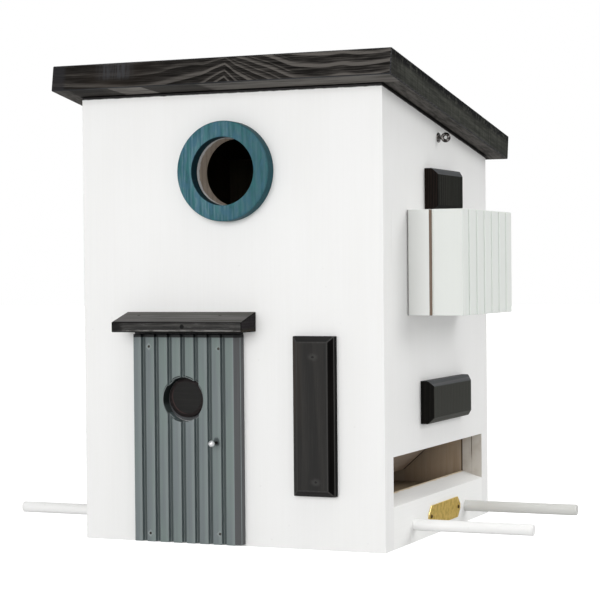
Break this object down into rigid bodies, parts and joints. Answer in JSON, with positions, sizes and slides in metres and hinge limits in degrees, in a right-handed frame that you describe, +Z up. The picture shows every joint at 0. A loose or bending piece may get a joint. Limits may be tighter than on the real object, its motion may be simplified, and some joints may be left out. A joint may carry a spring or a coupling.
{
  "type": "wooden nest box with feeder",
  "caption": "White wooden nest box shaped like a small house, with a feeder below, a hinged black roof, a blue entrance ring, a ribbed door, a balcony and round perches.",
  "frame": {"origin": "centre of the box's underside, on the plane that it stands on", "axes": "+Z up, +X to the balcony side, -Y out of the front wall with the entrance and the door"},
  "size_m": [0.298, 0.201, 0.25],
  "materials": {
    "white_paint": "satin paint on wood",
    "black_stain": "black stain over open grain",
    "raw_wood": "planed bare pine",
    "ring_blue": "satin teal blue paint",
    "door_blue": "matt grey blue paint",
    "brass": "bright pressed brass",
    "steel": "bright zinc"
  },
  "bodies": {
    "box": {"front_wall": "white_paint", "back_wall": "white_paint", "right_wall": "white_paint", "right_rail": "white_paint", "left_wall": "white_paint", "left_rail": "white_paint", "floor_board": "raw_wood", "right_seed_board": "raw_wood", "left_seed_board": "raw_wood", "left_hinge_wall_leaf": "steel", "right_hinge_wall_leaf": "steel", "left_hinge_pin": "steel", "right_hinge_pin": "steel", "entrance_ring": "ring_blue", "door_board": "door_blue", "porthole_backing": "black_stain", "door_knob": "steel", "door_canopy": "black_stain", "front_window": "black_stain", "right_upper_window": "black_stain", "right_lower_window": "black_stain", "left_upper_window": "black_stain", "left_lower_window": "black_stain", "balcony_inner": "white_paint", "balcony_front": "white_paint", "name_plate": "brass", "plate_nails": "brass", "right_front_perch": "white_paint", "right_back_perch": "white_paint", "left_front_perch": "white_paint", "left_back_perch": "white_paint", "right_screw_eye": "steel", "left_screw_eye": "steel"},
    "roof": {"roof_board": "black_stain", "left_hinge_roof_leaf": "steel", "right_hinge_roof_leaf": "steel"}
  },
  "joints": [
    {"name": "roof_hinge", "type": "hinge", "parent": "box", "child": "roof", "pos_m": [0, 0.0878, 0.20331], "axis": [-1, 0, 0], "range_deg": [0, 100]}
  ]
}
